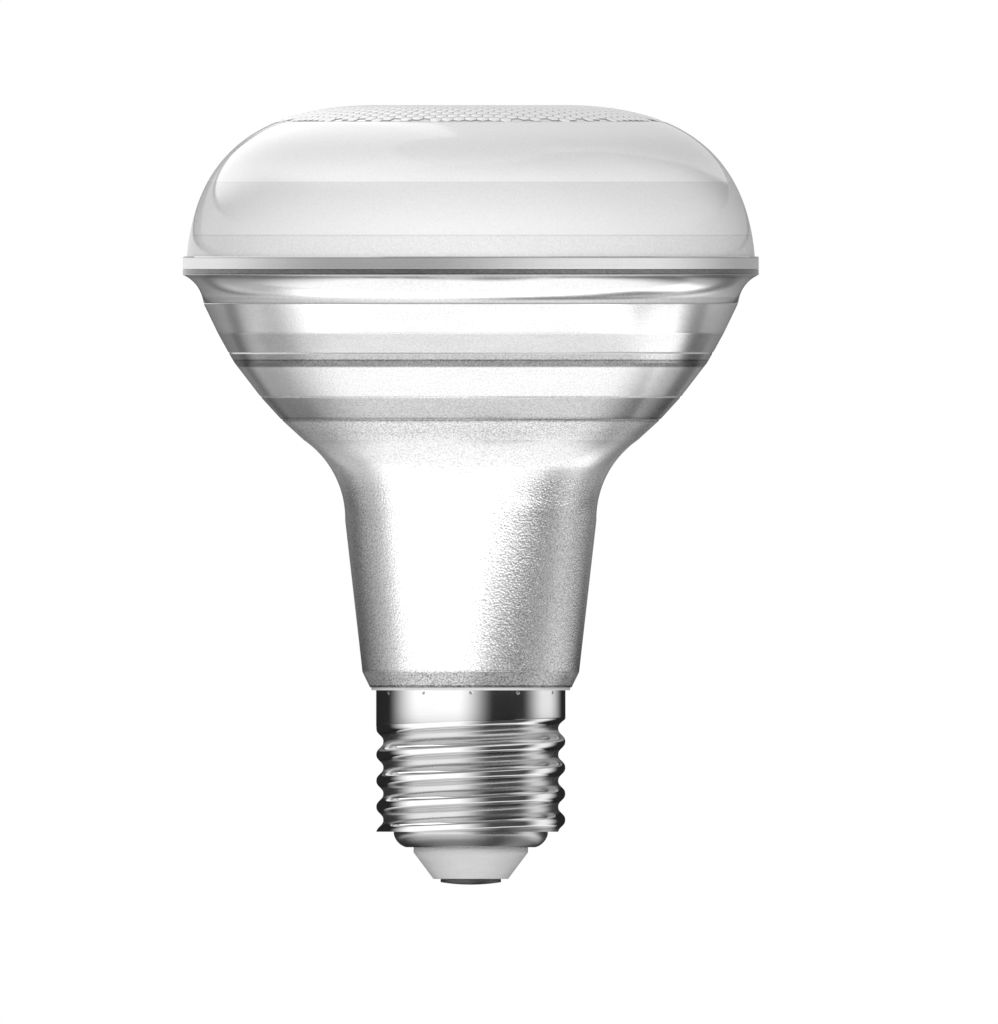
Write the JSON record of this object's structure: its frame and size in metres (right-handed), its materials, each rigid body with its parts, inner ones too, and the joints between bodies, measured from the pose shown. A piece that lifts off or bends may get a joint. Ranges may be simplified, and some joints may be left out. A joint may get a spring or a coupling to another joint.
{
  "type": "reflector lamp",
  "caption": "Reflector lamp with a domed honeycomb lens, a faceted mirror bowl, a hammered neck and a screw cap.",
  "frame": {"origin": "lowest point of the centre contact, on the lamp's axis", "axes": "+Z along the lamp's axis from the cap to the lens; the lamp is round about it, apart from its thread"},
  "size_m": [0.08, 0.08, 0.1083],
  "materials": {
    "frosted_lens": "moulded frosted lens with a glossy skin",
    "turned_ring": "fine turned",
    "mirror_coat": "silver mirror coat, hammered on the neck",
    "cap_plating": "bright plated",
    "cap_insulation": "moulded, smooth",
    "contact_metal": "dull plated",
    "pressed_aluminium": "pressed, dull",
    "pad_rubber": "soft, matt",
    "board_white": "white resist",
    "led_carrier": "moulded, with a yellow window",
    "screw_steel": "zinc plated",
    "connector_plastic": "moulded",
    "wire_red": "insulated",
    "wire_black": "insulated",
    "wire_white": "insulated",
    "housing_plastic": "moulded",
    "board_green": "laminate with green resist",
    "can_sleeve": "shrunk sleeve",
    "film_box": "moulded box",
    "chip_black": "moulded",
    "varistor_coat": "dipped",
    "fuse_coat": "cement coat",
    "ferrite": "sintered",
    "bobbin_plastic": "moulded",
    "winding_copper": "lacquered"
  },
  "bodies": {
    "root": {"front_lens": "frosted_lens", "rim_ring": "turned_ring", "reflector_body": "mirror_coat", "screw_shell": "cap_plating", "cap_insulator": "cap_insulation", "centre_contact": "contact_metal", "heat_sink": "pressed_aluminium", "thermal_pad": "pad_rubber", "led_board": "board_white", "led_01": "led_carrier", "led_02": "led_carrier", "led_03": "led_carrier", "led_04": "led_carrier", "led_05": "led_carrier", "led_06": "led_carrier", "led_07": "led_carrier", "led_08": "led_carrier", "led_09": "led_carrier", "led_10": "led_carrier", "led_11": "led_carrier", "led_12": "led_carrier", "board_screws": "screw_steel", "board_connector": "connector_plastic", "led_lead_positive": "wire_red", "led_lead_negative": "wire_black", "driver_housing": "housing_plastic", "driver_board": "board_green", "bulk_capacitor": "can_sleeve", "output_capacitor": "can_sleeve", "film_capacitor": "film_box", "bridge_rectifier": "chip_black", "driver_chip": "chip_black", "output_diode": "chip_black", "varistor": "varistor_coat", "fuse_resistor": "fuse_coat", "transformer_core": "ferrite", "transformer_bobbin": "bobbin_plastic", "transformer_winding": "winding_copper", "live_lead": "wire_black", "neutral_lead": "wire_white"}
  },
  "joints": []
}
